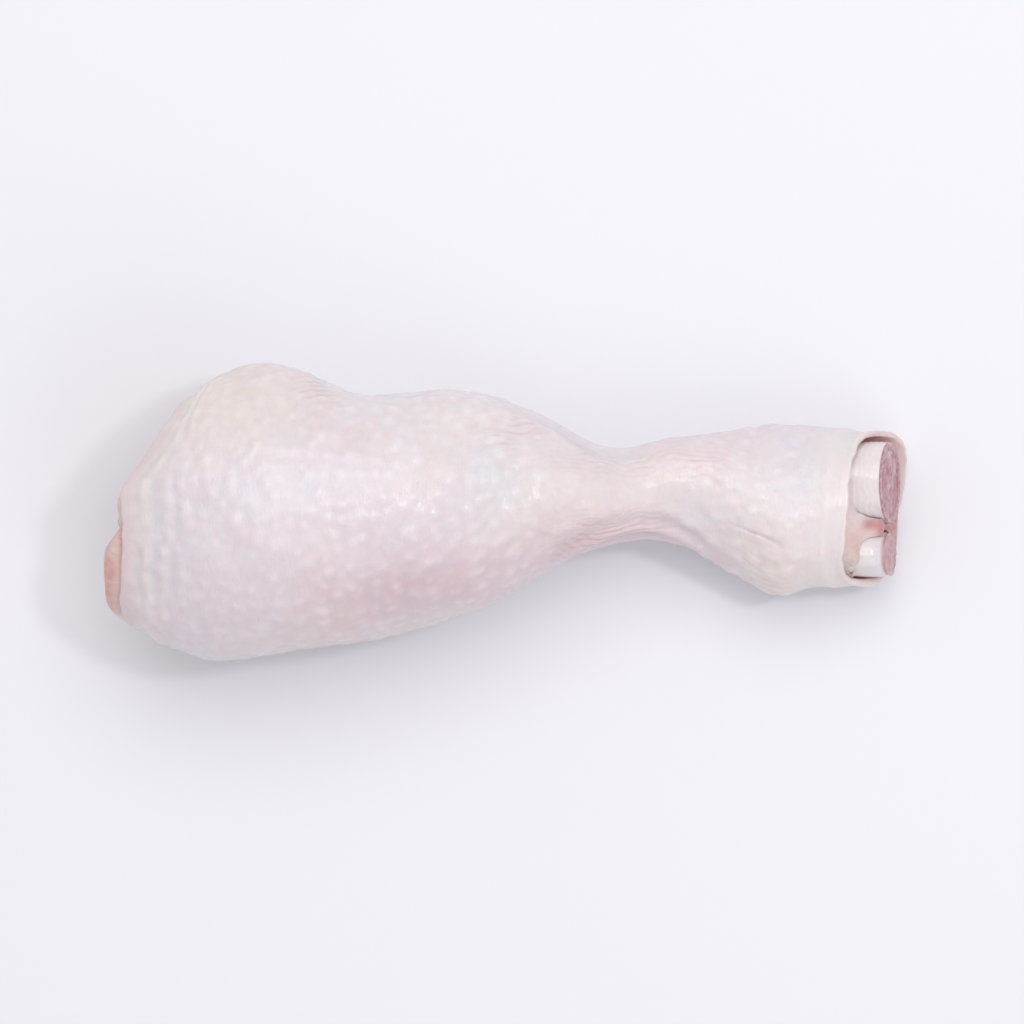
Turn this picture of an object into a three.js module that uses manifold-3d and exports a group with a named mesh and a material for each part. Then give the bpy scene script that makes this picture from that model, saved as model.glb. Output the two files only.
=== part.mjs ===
// A raw chicken drumstick that lies on its side: skin, meat, shin bone with its red marrow, and heel tendon.
// X runs from the knee end to the cut hock end, Y across, and Z up from the surface that it lies on.
// Millimetres. The shapes start at X 0 by the knee, and at the end the origin moves under the middle.

import * as THREE from "three";
import { mergeVertices } from "three/addons/utils/BufferGeometryUtils.js";
import Module from "manifold-3d";

const wasm = await Module();
wasm.setup();

// Driving dimensions
const LENGTH = 142; // skin, from the knee edge to the lowest lip of the hock collar
const HALF_WIDTH = 27.3; // calf, across Y
const HEIGHT = 44; // calf, from the surface to its crown
const SKIN = 1.7; // skin with the fat under it
const SKIN_EDGE = 1.1; // skin at its cut edges
const GAP = 0.3; // between neighbouring pieces
const KNEE_BULGE = 5.1; // how far the meat swells out of the knee opening
const HOCK_CUT = 138.7; // X of the middle of the plane that cut the foot off
const CUT_LEAN = -0.3; // X per millimetre of height: the cut faces up a little

// Faces round and along each piece
const AROUND = 44;
const SKIN_STEPS = 58;
const INNER_STEPS = 17;
const DOME_STEPS = 8;
const BONE_AROUND = 24;
const CORE_AROUND = 16;
const MARROW_STEPS = 13;

// Shares of LENGTH at which the side of the skin begins and ends
const KNEE_EDGE = 0.048;
const HOCK_EDGE = 0.957;
const KNEE_TAPER = 0.06; // where the skin thins to its knee edge
const HOCK_TAPER = 0.1; // the same at the hock

// Outlines from above as [share of LENGTH, share of HALF_WIDTH], and from the side with shares of HEIGHT
const FAR_SIDE = [
  [KNEE_EDGE, 0.78],
  [0.075, 0.87],
  [0.1, 0.925],
  [0.165, 1],
  [0.23, 0.94],
  [0.29, 0.81],
  [0.43, 0.79],
  [0.52, 0.68],
  [0.61, 0.455],
  [0.7, 0.515],
  [0.83, 0.575],
  [0.92, 0.57],
  [0.96, 0.55],
];
const NEAR_SIDE = [
  [KNEE_EDGE, -0.79],
  [0.075, -0.875],
  [0.13, -0.985],
  [0.3, -0.86],
  [0.43, -0.66],
  [0.54, -0.36],
  [0.64, -0.21],
  [0.71, -0.235],
  [0.765, -0.38],
  [0.83, -0.56],
  [0.88, -0.51],
  [0.96, -0.5],
];
const TOP = [
  [KNEE_EDGE, 0.855],
  [0.08, 0.935],
  [0.14, 0.99],
  [0.22, 1],
  [0.38, 0.93],
  [0.52, 0.75],
  [0.64, 0.58],
  [0.74, 0.535],
  [0.85, 0.555],
  [0.96, 0.53],
];
const BOTTOM = [
  [KNEE_EDGE, 0.095],
  [0.08, 0.01],
  [0.12, -0.03],
  [0.28, -0.035],
  [0.4, -0.01],
  [0.5, 0.07],
  [0.62, 0.19],
  [0.72, 0.14],
  [0.82, 0.01],
  [0.88, -0.02],
  [0.96, -0.01],
];

// How far the crown and the far side of a section lean along X, in millimetres: both openings are slanted.
const LEAN = [
  [KNEE_EDGE, -5.8],
  [0.16, 0],
  [0.82, 0],
  [HOCK_EDGE, -6],
];
const TURN = [
  [KNEE_EDGE, 4.1],
  [0.2, 0],
  [0.82, 0],
  [HOCK_EDGE, 1.2],
];
const SQUARENESS = 3; // how soon a slanted opening reaches its full lean away from its sides

// The knee edge has a corner by the flap: how far it moves along X about an angle, up to a share of LENGTH.
const KNEE_CORNER = [
  { angle: 1.37, spread: 0.24, along: -2.4 },
  { angle: 0.55, spread: 0.45, along: 2.4 },
];
const CORNER_END = 0.16;

// Relief of the skin. Places are shares of LENGTH and angles round it from the far side, heights millimetres.
const LUMPS = [
  { along: 17, around: 2, phase: 0.6, height: 0.45 },
  { along: 29, around: -3, phase: 2.1, height: 0.3 },
];
const WAIST_SWAGS = { share: 0.63, reach: 0.1, angle: 2.75, spread: 0.8, height: 0.55, folds: 10, sag: 9 };
const FAR_FOLDS = { share: 0.56, reach: 0.08, angle: 0.5, spread: 0.6, height: 0.4, folds: 10, slant: -22 };
const FLAP_CREASE = { share: 0.25, drift: 0.05, reach: 0.025, angle: 0.35, spread: 0.5, height: -0.6 };
const COLLAR_RIDGE = { share: 0.915, reach: 0.015, height: 0.35 };

// Shin bone as [X, centre Y, centre Z, half size Y, half size Z]
const BONE = [
  [-1.4, -5, 19.6, 2.6, 2.3],
  [-0.9, -5, 19.6, 5.2, 4.7],
  [0.6, -5, 19.6, 7.4, 6.8],
  [4, -4.9, 19.6, 8.2, 7.6],
  [9, -4.1, 19.6, 7.6, 7],
  [18, -2.6, 19.5, 5.6, 5.3],
  [34, -1, 19.4, 4.7, 4.5],
  [70, 1.6, 18, 4.2, 4.1],
  [96, 3.2, 16.4, 4.2, 4.1],
  [112, 4, 13.8, 5, 5.2],
  [124, 5, 12.5, 6.7, 7.3],
  [132, 5.4, 12.1, 7.5, 7.8],
  [HOCK_CUT, 5.5, 12.1, 7.5, 7.6],
];
const MARROW_RIM = 1.5; // white cartilage round the red core, at the cut
const MARROW_SHAFT = 2.1; // radius of the core along the shaft
const MARROW_START = 14;
const MARROW_FLARE = [124, 136]; // X between which the core widens to the cut

// Heel tendon bundle, as the bone
const TENDON = [
  [98, -2.7, 15.2, 0.9, 1.5],
  [107, -3.6, 14.4, 1.5, 2.2],
  [114, -5.6, 13.3, 2.2, 3.6],
  [124, -7.4, 12.3, 3.7, 5.4],
  [132, -7.6, 12, 4.3, 5.4],
  [HOCK_CUT, -7.6, 12, 4.4, 5.1],
];

// Meat between bone and tendon at the hock, as the bone, and the share of LENGTH where it leaves the skin
const STUMP = [
  [131.5, 0.4, 11.6, 12.6, 9],
  [134.5, 0.4, 10.4, 11.9, 7],
  [HOCK_CUT, 0.4, 9.8, 11.3, 5.9],
];
const STUMP_SHARE = 0.9;
const CUT_REACH = 22; // how far before the cut the ovals begin to lean with it

// Bulge of the meat at the knee: dimpled over the bone, slack about an angle, in three lobes
const DIMPLE = 0.4;
const SLACK = { angle: 0.35, spread: 1.35, share: 0.95 };
const LOBES = { count: 3, phase: 0.8, height: 0.06 };

const { smoothstep, lerp } = THREE.MathUtils;

// A curve through knots [x, value], flat beyond its ends.
function curve(knots, column = 1) {
  const slope = knots.map((_, i) => {
    const a = knots[Math.max(i - 1, 0)];
    const b = knots[Math.min(i + 1, knots.length - 1)];
    return (b[column] - a[column]) / (b[0] - a[0]);
  });
  return (x) => {
    if (x <= knots[0][0]) return knots[0][column];
    if (x >= knots.at(-1)[0]) return knots.at(-1)[column];
    const i = knots.findIndex((k) => k[0] > x) - 1;
    const span = knots[i + 1][0] - knots[i][0];
    const t = (x - knots[i][0]) / span;
    const [t2, t3] = [t * t, t * t * t];
    return (
      (2 * t3 - 3 * t2 + 1) * knots[i][column] +
      (t3 - 2 * t2 + t) * span * slope[i] +
      (3 * t2 - 2 * t3) * knots[i + 1][column] +
      (t3 - t2) * span * slope[i + 1]
    );
  };
}

const farSide = curve(FAR_SIDE);
const nearSide = curve(NEAR_SIDE);
const top = curve(TOP);
const bottom = curve(BOTTOM);
const lean = curve(LEAN);
const turned = curve(TURN);

const bell = (distance, reach) => Math.exp(-((distance / reach) ** 2));

// Angle from `middle`, between -pi and pi.
const turnFrom = (angle, middle) =>
  Math.atan2(Math.sin(angle - middle), Math.cos(angle - middle));

// How much of a fold reaches a place on the skin, from 0 to 1.
function presence(fold, share, angle) {
  const turn = turnFrom(angle, fold.angle);
  const place = fold.share + (fold.drift ?? 0) * turn;
  return bell(share - place, fold.reach) * bell(turn, fold.spread);
}

// Broad lumps and folds of the skin, in millimetres outwards.
function relief(share, angle) {
  let out = 0;
  for (const lump of LUMPS) {
    out += lump.height * Math.sin(lump.along * share + lump.around * angle + lump.phase);
  }
  const hang = WAIST_SWAGS.sag * bell(share - WAIST_SWAGS.share, WAIST_SWAGS.reach);
  const swags = Math.sin(WAIST_SWAGS.folds * angle + hang);
  out += WAIST_SWAGS.height * presence(WAIST_SWAGS, share, angle) * swags;
  const farFolds = Math.sin(FAR_FOLDS.folds * angle + FAR_FOLDS.slant * share);
  out += FAR_FOLDS.height * presence(FAR_FOLDS, share, angle) * farFolds;
  out += FLAP_CREASE.height * presence(FLAP_CREASE, share, angle);
  out += COLLAR_RIDGE.height * bell(share - COLLAR_RIDGE.share, COLLAR_RIDGE.reach);
  return out;
}

// From -1 to 1 as `up` is, but reached sooner.
const squared = (up) => up * Math.sqrt((1 + SQUARENESS) / (1 + SQUARENESS * up * up));

// How far the corner of the knee edge moves a place along X.
function cornered(share, angle) {
  const moves = KNEE_CORNER.map((part) => part.along * bell(turnFrom(angle, part.angle), part.spread));
  return (moves[0] + moves[1]) * (1 - smoothstep(share, KNEE_EDGE, CORNER_END));
}

// The point at an angle round the section at a share of the length: 0 faces the far side, a quarter turn up.
function onSection(share, angle, inset, swell = 0) {
  const [far, near] = [farSide(share) * HALF_WIDTH, nearSide(share) * HALF_WIDTH];
  const [high, low] = [top(share) * HEIGHT, bottom(share) * HEIGHT];
  const [across, up] = [Math.cos(angle), Math.sin(angle)];
  return new THREE.Vector3(
    share * LENGTH + lean(share) * squared(up) + turned(share) * across + cornered(share, angle),
    (far + near) / 2 + ((far - near) / 2 - inset + swell) * across,
    Math.max((high + low) / 2 + ((high - low) / 2 - inset + swell) * up, inset),
  );
}

// A point of an upright oval that leans as the hock cut does, the more the nearer it is to the cut.
function onOval(x, y, z, halfY, halfZ, angle) {
  const slant = smoothstep(x, HOCK_CUT - CUT_REACH, HOCK_CUT);
  const rise = halfZ * Math.sin(angle);
  return new THREE.Vector3(
    x + CUT_LEAN * slant * rise,
    y + halfY * Math.cos(angle),
    z + rise,
  );
}

const loop = (count, pointAt) =>
  Array.from({ length: count }, (_, i) => pointAt((2 * Math.PI * i) / count));

const steps = (count, from, to) =>
  Array.from({ length: count + 1 }, (_, i) => from + ((to - from) * i) / count);

// Steps that are closer together near both ends, the more so with a larger `ease`, from 0 to 1.
const easedSteps = (count, from, to, ease) =>
  steps(count, -1, 1).map((t) => {
    const eased = (1 - ease) * t + ease * Math.sin((t * Math.PI) / 2);
    return from + ((to - from) * (eased + 1)) / 2;
  });

const middleOf = (ring) =>
  ring.reduce((sum, p) => sum.add(p), new THREE.Vector3()).divideScalar(ring.length);

// Joins loops of equally many points into one closed surface, with a fan over each end or back to the first.
function loft(rings, closesOnItself) {
  const count = rings[0].length;
  const points = rings.flat();
  const faces = [];
  const bands = closesOnItself ? rings.length : rings.length - 1;
  for (let r = 0; r < bands; r++) {
    const [a, b] = [r * count, ((r + 1) % rings.length) * count];
    for (let i = 0; i < count; i++) {
      const j = (i + 1) % count;
      faces.push(a + i, b + i, b + j, a + i, b + j, a + j);
    }
  }
  if (!closesOnItself) {
    const first = points.push(middleOf(rings[0])) - 1;
    const last = points.push(middleOf(rings.at(-1))) - 1;
    const b = (rings.length - 1) * count;
    for (let i = 0; i < count; i++) {
      const j = (i + 1) % count;
      faces.push(first, i, j);
      faces.push(last, b + j, b + i);
    }
  }
  return facingOut(points, faces);
}

// A geometry of the faces, turned about if they enclose a negative volume.
function facingOut(points, faces) {
  let volume = 0;
  for (let i = 0; i < faces.length; i += 3) {
    const [a, b, c] = [points[faces[i]], points[faces[i + 1]], points[faces[i + 2]]];
    volume += a.dot(b.clone().cross(c));
  }
  const geometry = new THREE.BufferGeometry().setFromPoints(points);
  geometry.setIndex(volume < 0 ? faces.reverse() : faces);
  return geometry;
}

function toSolid(geometry) {
  const merged = mergeVertices(geometry, 1e-4);
  return new wasm.Manifold(
    new wasm.Mesh({
      numProp: 3,
      vertProperties: new Float32Array(merged.attributes.position.array),
      triVerts: new Uint32Array(merged.index.array),
    }),
  );
}

// The geometry of a solid's largest body, without the scraps that a cut can leave.
function toGeometry(solid) {
  const body = solid.decompose().reduce((a, b) => (a.volume() > b.volume() ? a : b));
  const mesh = body.getMesh();
  const geometry = new THREE.BufferGeometry();
  geometry.setAttribute("position", new THREE.BufferAttribute(mesh.vertProperties, 3));
  geometry.setIndex(new THREE.BufferAttribute(mesh.triVerts, 1));
  return geometry;
}

function skinThickness(share) {
  const fromKnee = smoothstep(share, KNEE_EDGE, KNEE_EDGE + KNEE_TAPER);
  const toHock = smoothstep(share, HOCK_EDGE - HOCK_TAPER, HOCK_EDGE);
  return lerp(SKIN_EDGE, SKIN, fromKnee * (1 - toHock));
}

// The inner wall of the skin and the meat inside it share these places.
const wallShares = easedSteps(INNER_STEPS, KNEE_EDGE, HOCK_EDGE, 0.5);

// The loop at a share of the length that lies `below` the inner wall of the skin.
const wallRing = (share, below) =>
  loop(AROUND, (angle) => onSection(share, angle, skinThickness(share) + below));

// The rounded lip half way through the skin at one of its edges.
const lipRing = (share, outward) =>
  loop(AROUND, (angle) => {
    const lip = onSection(share, angle, SKIN_EDGE / 2);
    lip.x += outward;
    return lip;
  });

// Skin: the outer wall from the knee edge to the hock edge, a lip, the inner wall back, and the other lip.
function skinGeometry() {
  const outer = easedSteps(SKIN_STEPS, KNEE_EDGE, HOCK_EDGE, 0.35).map((share) =>
    loop(AROUND, (angle) => onSection(share, angle, 0, relief(share, angle))),
  );
  const inner = wallShares.map((share) => wallRing(share, 0)).reverse();
  const rings = [
    ...outer,
    lipRing(HOCK_EDGE, SKIN_EDGE / 3),
    ...inner,
    lipRing(KNEE_EDGE, -SKIN_EDGE / 3),
  ];
  return loft(rings, true);
}

// The rings of the meat's bulge, from round the bone's head out to the edge of the skin.
function kneeRings() {
  const rim = wallRing(KNEE_EDGE, GAP);
  const [, boneY, boneZ] = BONE[0];
  const middle = new THREE.Vector3(KNEE_EDGE * LENGTH, boneY, boneZ);
  const shares = steps(DOME_STEPS, 0.2, 1).slice(0, -1);
  return shares.map((t) =>
    rim.map((edge, i) => {
      const angle = (2 * Math.PI * i) / AROUND;
      const height = (DIMPLE + 0.9 * t) * Math.sqrt(1 - t ** 4);
      const slack = Math.exp(-((turnFrom(angle, SLACK.angle) / SLACK.spread) ** 4));
      const bias = 1 - SLACK.share * t * slack;
      const lobe = 1 + LOBES.height * t * Math.sin(LOBES.count * angle + LOBES.phase);
      const point = middle.clone().lerp(edge, t);
      point.x -= KNEE_BULGE * height * bias * lobe;
      return point;
    }),
  );
}

// Loops along a table of ovals, grown by `grow` all round and past both ends.
function ovalRings(table, count, grow) {
  const columns = [1, 2, 3, 4].map((column) => curve(table, column));
  const stations = table.flatMap(([x], i) =>
    i + 1 < table.length ? [x, (x + table[i + 1][0]) / 2] : [x],
  );
  return stations.map((x, i) => {
    const [y, z, halfY, halfZ] = columns.map((at) => at(x));
    const past = i === 0 ? -grow : i === stations.length - 1 ? grow : 0;
    return loop(count, (angle) => onOval(x + past, y, z, halfY + grow, halfZ + grow, angle));
  });
}

// Meat: fills the skin, swells out of the knee opening, and stands between bone and tendon at the hock.
function meatGeometry() {
  const wall = wallShares
    .filter((share) => share < STUMP_SHARE)
    .map((share) => wallRing(share, GAP));
  const stump = STUMP.map((oval) => loop(AROUND, (angle) => onOval(...oval, angle)));
  const whole = toSolid(loft([...kneeRings(), ...wall, ...stump], false));
  const bone = toSolid(loft(ovalRings(BONE, BONE_AROUND, GAP), false));
  const tendon = toSolid(loft(ovalRings(TENDON, CORE_AROUND, GAP), false));
  return toGeometry(whole.subtract(bone).subtract(tendon));
}

// Loops along the marrow, grown by `grow`: the bore that is cut with them runs on past the cut.
function marrowRings(grow) {
  const [boneY, boneZ, boneHalfY, boneHalfZ] = [1, 2, 3, 4].map((column) => curve(BONE, column));
  const stations = easedSteps(MARROW_STEPS, MARROW_START, HOCK_CUT - GAP, 0.8);
  return stations.map((x, i) => {
    const flare = smoothstep(x, ...MARROW_FLARE);
    const halfY = lerp(MARROW_SHAFT, boneHalfY(x) - MARROW_RIM, flare) + grow;
    const halfZ = lerp(MARROW_SHAFT, boneHalfZ(x) - MARROW_RIM, flare) + grow;
    const past = i === 0 ? -grow : i === MARROW_STEPS ? 4 * grow : 0;
    return loop(CORE_AROUND, (angle) => onOval(x + past, boneY(x), boneZ(x), halfY, halfZ, angle));
  });
}

// Shin bone: from the knee head to the cut, with the bore that holds the marrow.
function boneGeometry() {
  const body = toSolid(loft(ovalRings(BONE, BONE_AROUND, 0), false));
  const bore = toSolid(loft(marrowRings(GAP), false));
  return toGeometry(body.subtract(bore));
}

const marrowGeometry = () => loft(marrowRings(0), false);
const tendonGeometry = () => loft(ovalRings(TENDON, CORE_AROUND, 0), false);

function piece(name, geometry, color, roughness) {
  const material = new THREE.MeshStandardMaterial({ color, roughness, metalness: 0 });
  const mesh = new THREE.Mesh(geometry, material);
  mesh.name = name;
  return mesh;
}

const drumstick = new THREE.Group();
drumstick.add(
  piece("skin", skinGeometry(), "#e8dfe3", 0.4),
  piece("meat", meatGeometry(), "#cf9c98", 0.35),
  piece("bone", boneGeometry(), "#e9e1df", 0.3),
  piece("marrow", marrowGeometry(), "#a8545c", 0.45),
  piece("tendon", tendonGeometry(), "#ece6e4", 0.3),
);

// The origin moves under the middle of the whole.
const whole = new THREE.Box3().setFromObject(drumstick);
const middle = whole.getCenter(new THREE.Vector3());
drumstick.position.set(-middle.x, -middle.y, -whole.min.z);

export default drumstick;
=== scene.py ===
# Looks of a raw chicken drumstick that lies on its side: fine skin, meat, bone, marrow and tendon.
import math

import bpy
import numpy as np
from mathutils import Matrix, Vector
from mathutils.kdtree import KDTree


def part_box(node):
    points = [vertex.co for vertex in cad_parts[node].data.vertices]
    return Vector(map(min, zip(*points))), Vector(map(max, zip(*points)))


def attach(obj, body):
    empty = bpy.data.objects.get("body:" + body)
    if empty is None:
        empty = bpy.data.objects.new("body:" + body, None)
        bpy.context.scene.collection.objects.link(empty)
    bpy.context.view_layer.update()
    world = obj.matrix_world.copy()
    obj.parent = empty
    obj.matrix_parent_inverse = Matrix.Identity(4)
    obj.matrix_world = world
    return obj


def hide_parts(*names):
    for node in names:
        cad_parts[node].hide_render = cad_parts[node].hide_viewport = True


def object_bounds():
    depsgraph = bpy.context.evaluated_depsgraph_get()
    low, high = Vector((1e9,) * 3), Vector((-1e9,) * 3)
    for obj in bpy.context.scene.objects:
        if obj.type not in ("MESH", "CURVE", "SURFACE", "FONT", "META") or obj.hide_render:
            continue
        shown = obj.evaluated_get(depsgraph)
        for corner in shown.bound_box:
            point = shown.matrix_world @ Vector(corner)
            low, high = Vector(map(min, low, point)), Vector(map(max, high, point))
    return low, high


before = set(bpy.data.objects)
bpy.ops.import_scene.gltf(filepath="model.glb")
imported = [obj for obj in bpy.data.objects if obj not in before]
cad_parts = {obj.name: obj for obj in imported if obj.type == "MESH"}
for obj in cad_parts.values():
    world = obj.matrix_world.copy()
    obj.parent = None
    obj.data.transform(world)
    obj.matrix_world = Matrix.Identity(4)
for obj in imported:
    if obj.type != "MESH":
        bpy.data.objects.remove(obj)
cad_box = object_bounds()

# Shapes are worked out in millimetres in the frame of the solids' own source, and placed in metres.
MM = 0.001

# Driving dimensions, as in the solids
LENGTH = 142.0  # skin, from the knee edge to the lowest lip of the hock collar
HALF_WIDTH = 27.3  # calf, across Y
HEIGHT = 44.0  # calf, from the surface to its crown
SKIN = 1.7  # skin with the fat under it
SKIN_EDGE = 1.1  # skin at its cut edges
KNEE_BULGE = 5.1  # how far the meat swells out of the knee opening
HOCK_CUT = 138.7  # X of the middle of the plane that cut the foot off
CUT_LEAN = -0.3  # X per millimetre of height: the cut faces up a little
JOIN = 0.06  # between neighbouring pieces, narrower than in the solids

# Shares of LENGTH at which the side of the skin begins and ends
KNEE_EDGE = 0.048
HOCK_EDGE = 0.957
KNEE_TAPER = 0.06
HOCK_TAPER = 0.1

# Outlines from above as [share of LENGTH, share of HALF_WIDTH], and from the side with shares of HEIGHT
FAR_SIDE = [
    (KNEE_EDGE, 0.78), (0.075, 0.87), (0.1, 0.925), (0.165, 1.0), (0.23, 0.94), (0.29, 0.81),
    (0.43, 0.79), (0.52, 0.68), (0.61, 0.455), (0.7, 0.515), (0.83, 0.575), (0.92, 0.57), (0.96, 0.55),
]
NEAR_SIDE = [
    (KNEE_EDGE, -0.79), (0.075, -0.875), (0.13, -0.985), (0.3, -0.86), (0.43, -0.66), (0.54, -0.36),
    (0.64, -0.21), (0.71, -0.235), (0.765, -0.38), (0.83, -0.56), (0.88, -0.51), (0.96, -0.5),
]
TOP = [
    (KNEE_EDGE, 0.855), (0.08, 0.935), (0.14, 0.99), (0.22, 1.0), (0.38, 0.93), (0.52, 0.75),
    (0.64, 0.58), (0.74, 0.535), (0.85, 0.555), (0.96, 0.53),
]
BOTTOM = [
    (KNEE_EDGE, 0.095), (0.08, 0.01), (0.12, -0.03), (0.28, -0.035), (0.4, -0.01), (0.5, 0.07),
    (0.62, 0.19), (0.72, 0.14), (0.82, 0.01), (0.88, -0.02), (0.96, -0.01),
]
# How far the crown and the far side of a section lean along X, in millimetres: both openings are slanted.
LEAN = [(KNEE_EDGE, -5.8), (0.16, 0.0), (0.82, 0.0), (HOCK_EDGE, -6.0)]
TURN = [(KNEE_EDGE, 4.1), (0.2, 0.0), (0.82, 0.0), (HOCK_EDGE, 1.2)]
SQUARENESS = 3.0  # how soon a slanted opening reaches its full lean away from its sides

# Ragged edges of the skin as [waves round the edge, phase, millimetres along X], with how far each
# edge is drawn back, and the shares of LENGTH over which that fades
FRAY = [(11, 0.7, 0.06), (19, 2.6, 0.05), (31, 0.0, 0.05)]
KNEE_WAVES = [(3, 1.1, 0.125), (7, 0.4, 0.125)]
HOCK_WAVES = [(2, 2.3, 0.21), (5, 1.9, 0.14)]
KNEE_DRAWN = 0.25
HOCK_DRAWN = 0.35
KNEE_TONGUE = dict(angle=1.83, spread=0.22, along=-0.75)
HOCK_BAY = dict(angle=4.15, spread=0.6, along=2.2)
KNEE_WAVE_END = 0.04
HOCK_WAVE_START = 0.05

# The corner of the knee edge by the flap: how far it moves along X about an angle, up to a share of LENGTH
KNEE_CORNER = [dict(angle=1.37, spread=0.24, along=-2.4), dict(angle=0.55, spread=0.45, along=2.4)]
CORNER_END = 0.16

# Broad relief, as in the solids: shares of LENGTH, angles from the far side, heights in millimetres
LUMPS = [(17, 2, 0.6, 0.45), (29, -3, 2.1, 0.3)]
WAIST_SWAGS = dict(share=0.63, reach=0.1, angle=2.75, spread=0.8, height=0.55, folds=10, sag=9)
FAR_FOLDS = dict(share=0.56, reach=0.08, angle=0.5, spread=0.6, height=0.4, folds=10, slant=-22)
FLAP_CREASE = dict(share=0.25, drift=0.05, reach=0.025, angle=0.35, spread=0.5, height=-0.6)
COLLAR_RIDGE = dict(share=0.915, reach=0.015, height=0.35)
RELIEF_FADE = 0.03  # share of LENGTH over which it rises from the edges

# Shin bone as [X, centre Y, centre Z, half size Y, half size Z]
BONE = [
    (-1.4, -5.0, 19.6, 2.6, 2.3), (-0.9, -5.0, 19.6, 5.2, 4.7), (0.6, -5.0, 19.6, 7.4, 6.8),
    (4.0, -4.9, 19.6, 8.2, 7.6), (9.0, -4.1, 19.6, 7.6, 7.0), (18.0, -2.6, 19.5, 5.6, 5.3),
    (34.0, -1.0, 19.4, 4.7, 4.5), (70.0, 1.6, 18.0, 4.2, 4.1), (96.0, 3.2, 16.4, 4.2, 4.1),
    (112.0, 4.0, 13.8, 5.0, 5.2), (124.0, 5.0, 12.5, 6.7, 7.3), (132.0, 5.4, 12.1, 7.5, 7.8),
    (HOCK_CUT, 5.5, 12.1, 7.5, 7.6),
]
MARROW_RIM = 1.5  # bone left round the marrow at the cut
MARROW_SHAFT = 2.1  # half size of the marrow along the shaft
MARROW_START = 14.0
MARROW_FLARE = (124.0, 136.0)  # X over which the marrow widens towards the cut

# Heel tendon, and the meat between it and the bone at the cut, written as the bone is
TENDON = [
    (98.0, -2.7, 15.2, 0.9, 1.5), (107.0, -3.6, 14.4, 1.5, 2.2), (114.0, -5.6, 13.3, 2.2, 3.6),
    (124.0, -7.4, 12.3, 3.7, 5.4), (132.0, -7.6, 12.0, 4.3, 5.4), (HOCK_CUT, -7.6, 12.0, 4.4, 5.1),
]
STUMP = [(131.5, 0.4, 11.6, 12.6, 9.0), (134.5, 0.4, 10.4, 11.9, 7.0), (HOCK_CUT, 0.4, 9.8, 11.3, 5.9)]
STUMP_SHARE = 0.9  # share of LENGTH up to which the meat fills the skin
CUT_REACH = 22.0  # how far from the cut, along X, its lean is felt

# The bulge at the knee, in shares of KNEE_BULGE: its middle, its rise outwards, where it stays low,
# and its lobes as [how many, phase, share]
DIMPLE = 0.4
DOME_RISE = 0.9
SLACK = dict(angle=0.35, spread=1.35, share=0.95)
LOBES = (3, 0.8, 0.06)

# The source's own X 0 and Y 0 in the frame, from the bone's box
bone_low, bone_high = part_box("bone")
SHIFT = np.array([
    bone_low[0] - BONE[0][0] * MM,
    bone_high[1] - max(y + half for _, y, _, half, _ in BONE) * MM,
    0.0,
])
BOX_LOW, BOX_HIGH = ((np.array(corner) - SHIFT) / MM for corner in cad_box)
BOX_EASE = 0.5  # millimetres inside the box in which the fine surface is eased back


def smoothstep(x, low, high):
    t = np.clip((np.asarray(x, float) - low) / (high - low), 0, 1)
    return t * t * (3 - 2 * t)


def mix(a, b, t):
    return a + (b - a) * t


def bell(distance, reach):
    return np.exp(-((distance / reach) ** 2))


def turn_from(angle, middle):
    return np.arctan2(np.sin(angle - middle), np.cos(angle - middle))


def curve(knots, x, column=1):
    """A smooth curve through knots, flat beyond its ends."""
    k = np.array(knots, float)
    at, value = k[:, 0], k[:, column]
    before = np.maximum(np.arange(len(k)) - 1, 0)
    after = np.minimum(np.arange(len(k)) + 1, len(k) - 1)
    slope = (value[after] - value[before]) / (at[after] - at[before])
    x = np.clip(x, at[0], at[-1])
    i = np.clip(np.searchsorted(at, x, side="right") - 1, 0, len(k) - 2)
    span = at[i + 1] - at[i]
    t = (x - at[i]) / span
    t2, t3 = t * t, t * t * t
    return (
        (2 * t3 - 3 * t2 + 1) * value[i]
        + (t3 - 2 * t2 + t) * span * slope[i]
        + (3 * t2 - 2 * t3) * value[i + 1]
        + (t3 - t2) * span * slope[i + 1]
    )


LATTICE = np.random.default_rng(11).uniform(-1, 1, (32, 32, 32))


def noise(points, size, seed=0.0):
    """Smooth noise from -1 to 1 whose features are about `size` apart."""
    p = np.asarray(points, float) / size + seed * 7.31
    cell = np.floor(p).astype(int)
    t = p - cell
    t = t * t * t * (t * (t * 6 - 15) + 10)
    total = 0.0
    for corner in np.ndindex(2, 2, 2):
        weight = np.prod(np.where(corner, t, 1 - t), axis=-1)
        x, y, z = np.moveaxis((cell + corner) % 32, -1, 0)
        total = total + weight * LATTICE[x, y, z]
    return total


def layered_noise(points, size, seed=0.0, layers=3):
    total = sum(noise(points, size / 2**k, seed + k) / 2**k for k in range(layers))
    return total / (2 - 2 ** (1 - layers))


def roughness(points, table):
    """Unevenness from rows of [height in millimetres, size, seed]."""
    return sum(height * noise(points, size, seed) for height, size, seed in table)


def presence(fold, share, angle):
    """How much of a fold, crease or tint reaches a place on the skin, from 0 to 1."""
    turn = turn_from(angle, fold["angle"])
    place = fold["share"] + fold.get("drift", 0.0) * turn
    return bell(share - place, fold["reach"]) * bell(turn, fold["spread"])


def inside_edges(share, reach):
    """0 at the cut edges of the skin, rising to 1 within a share of the length."""
    from_knee = smoothstep(share, KNEE_EDGE, KNEE_EDGE + reach)
    return from_knee * (1 - smoothstep(share, HOCK_EDGE - reach, HOCK_EDGE))


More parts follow.
